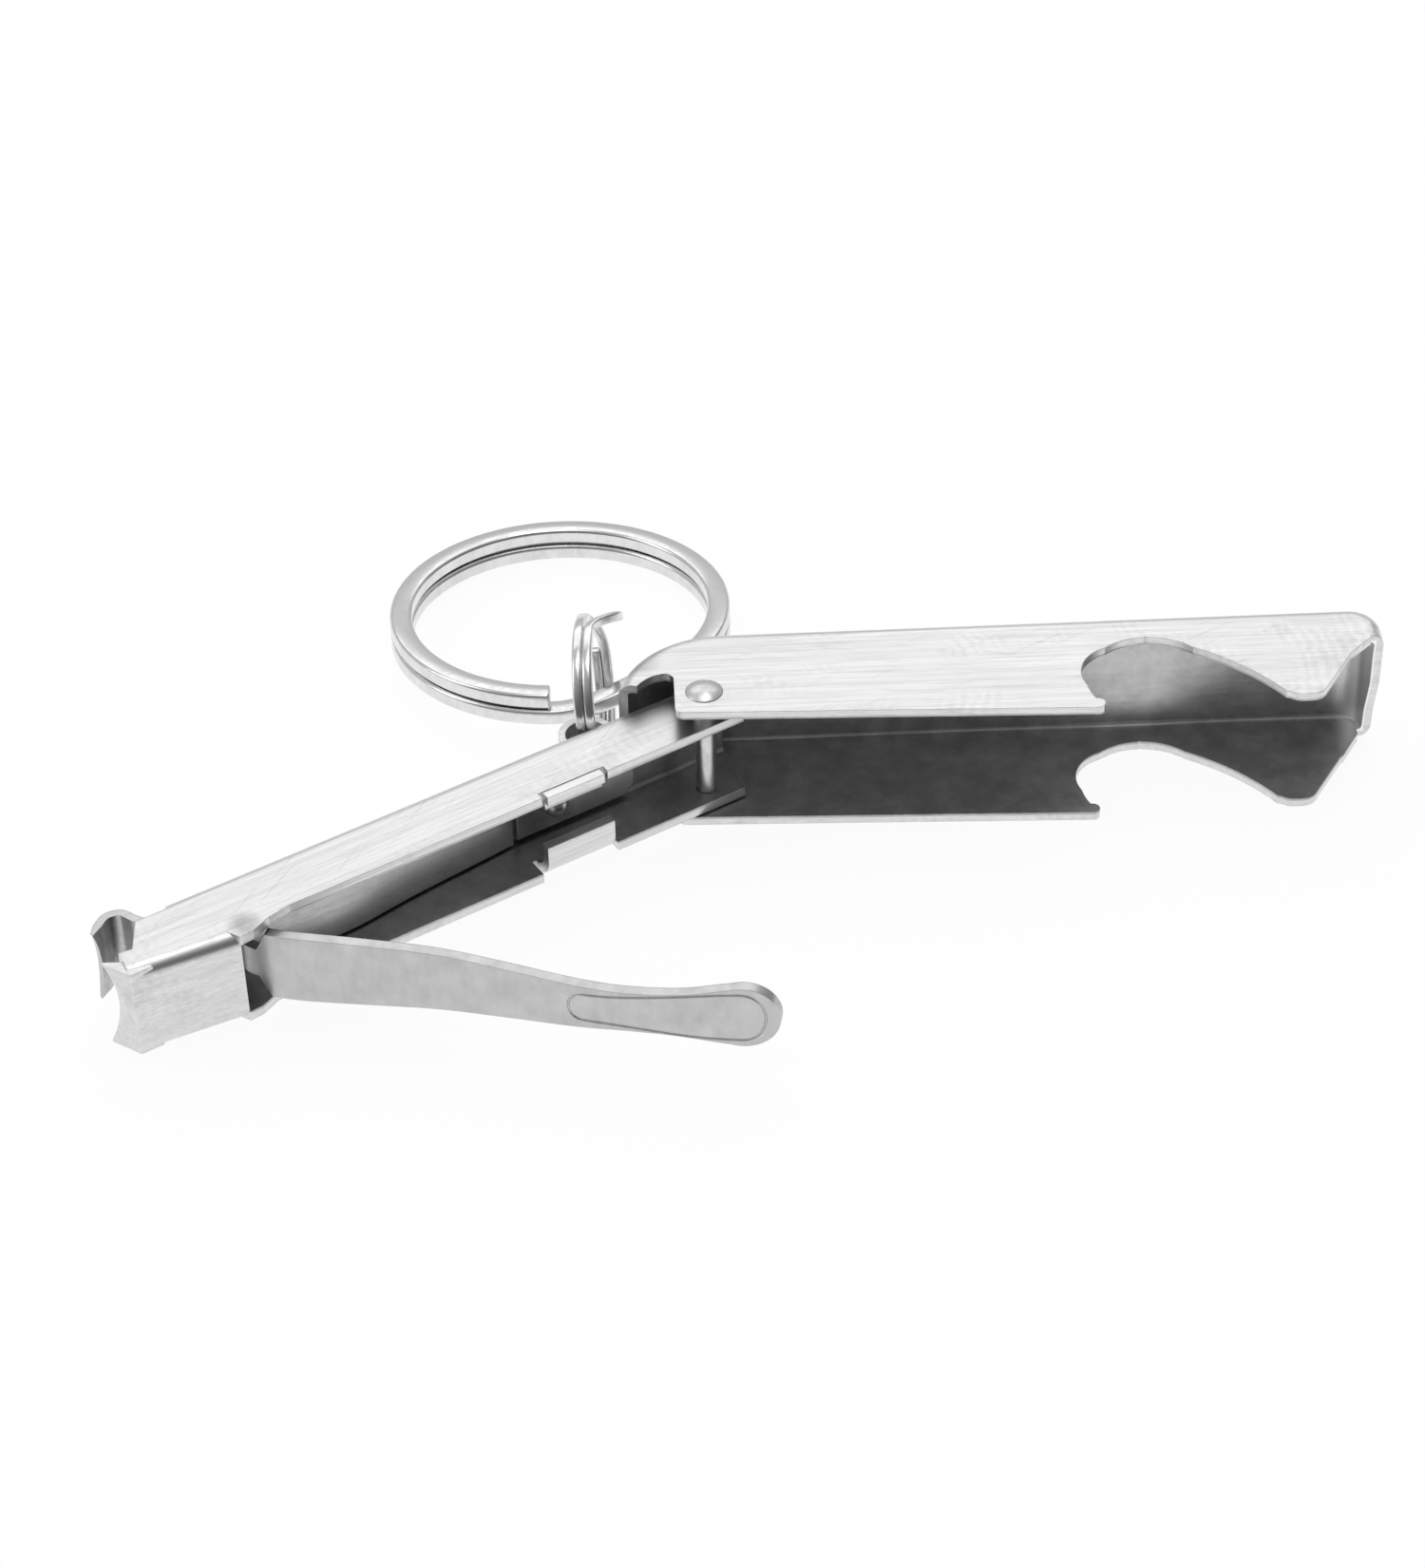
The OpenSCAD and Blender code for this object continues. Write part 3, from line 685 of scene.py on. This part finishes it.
# Name, place, size and watts
SOFTBOXES = (
    ("back_softbox", (0.0, 0.55, 0.62), (1.0, 0.6), 1.4),
    ("left_softbox", (-0.7, -0.05, 0.45), (0.35, 0.6), 0.9),
    ("top_softbox", (0.05, -0.05, 0.8), (0.5, 0.4), 1.1),
)
FLOOR_HALF = 1.5
FLOOR_DROP = 0.00002
FLOOR_GLOW = 1.03                             # makes the paper white to the camera and the steel
FLOOR_GLOW_SHARE = 0.9                        # the rest still takes the tool's shadow
LIGHT_SIDE = (-0.35, 0.7, 0.62)               # where the surroundings are lightest
SURROUNDINGS = {"From Min": -0.45, "From Max": 0.75, "To Min": 0.12, "To Max": 0.6}


def add_light(name, place, size, power):
    data = bpy.data.lights.new(name, "AREA")
    data.shape = "RECTANGLE"
    data.size, data.size_y = size
    data.energy = power
    light = bpy.data.objects.new(name, data)
    light.location = place
    direction = LIGHT_AIM - Vector(place)
    light.rotation_euler = direction.to_track_quat("-Z", "Y").to_euler()
    scene.collection.objects.link(light)


def add_floor():
    def build(bm):
        bmesh.ops.create_grid(bm, x_segments=8, y_segments=8, size=FLOOR_HALF)

    s = Shader("floor_paper")
    grain = s.noise(s.coords(0, (900, 900, 900)))
    s.feed(s.bsdf.inputs["Base Color"], s.mix(grain, grey(0.86), grey(0.9)))
    s.bsdf.inputs["Roughness"].default_value = 0.9
    s.bsdf.inputs["Specular IOR Level"].default_value = 0.1
    glow = s.add("ShaderNodeEmission")
    glow.inputs["Strength"].default_value = FLOOR_GLOW
    path = s.add("ShaderNodeLightPath")
    seen = s.math("MAXIMUM", path.outputs["Is Camera Ray"], path.outputs["Is Glossy Ray"])
    seen = s.math("MAXIMUM", seen, path.outputs["Is Transmission Ray"])
    share = s.math("MULTIPLY", seen, FLOOR_GLOW_SHARE)
    blend = s.add("ShaderNodeMixShader")
    s.feed(blend.inputs[0], share)
    s.links.new(s.bsdf.outputs[0], blend.inputs[1])
    s.links.new(glow.outputs[0], blend.inputs[2])
    s.links.new(blend.outputs[0], s.output.inputs["Surface"])
    floor = new_piece("floor", build, s.material)
    floor.location.z = -FLOOR_DROP


def add_world():
    """White to the camera; to the steel, lightest from the back, the left and above."""
    world = bpy.data.worlds.new("studio")
    world.use_nodes = True
    scene.world = world
    nodes, links = world.node_tree.nodes, world.node_tree.links
    backdrop = nodes["Background"]
    backdrop.inputs["Color"].default_value = (1, 1, 1, 1)
    backdrop.inputs["Strength"].default_value = 1
    direction = nodes.new("ShaderNodeTexCoord").outputs["Generated"]
    toward = nodes.new("ShaderNodeVectorMath")
    toward.operation = "DOT_PRODUCT"
    toward.inputs[1].default_value = LIGHT_SIDE
    links.new(direction, toward.inputs[0])
    fade = nodes.new("ShaderNodeMapRange")
    fade.interpolation_type = "SMOOTHSTEP"
    links.new(toward.outputs["Value"], fade.inputs["Value"])
    for name, number in SURROUNDINGS.items():
        fade.inputs[name].default_value = number
    ambient = nodes.new("ShaderNodeBackground")
    ambient.inputs["Color"].default_value = (1, 1, 1, 1)
    links.new(fade.outputs["Result"], ambient.inputs["Strength"])
    path = nodes.new("ShaderNodeLightPath")
    blend = nodes.new("ShaderNodeMixShader")
    links.new(path.outputs["Is Camera Ray"], blend.inputs[0])
    links.new(ambient.outputs[0], blend.inputs[1])
    links.new(backdrop.outputs[0], blend.inputs[2])
    links.new(blend.outputs[0], nodes["World Output"].inputs["Surface"])


add_floor()
add_world()
for softbox in SOFTBOXES:
    add_light(*softbox)
scene.view_settings.view_transform = "Standard"

bpy.context.view_layer.update()
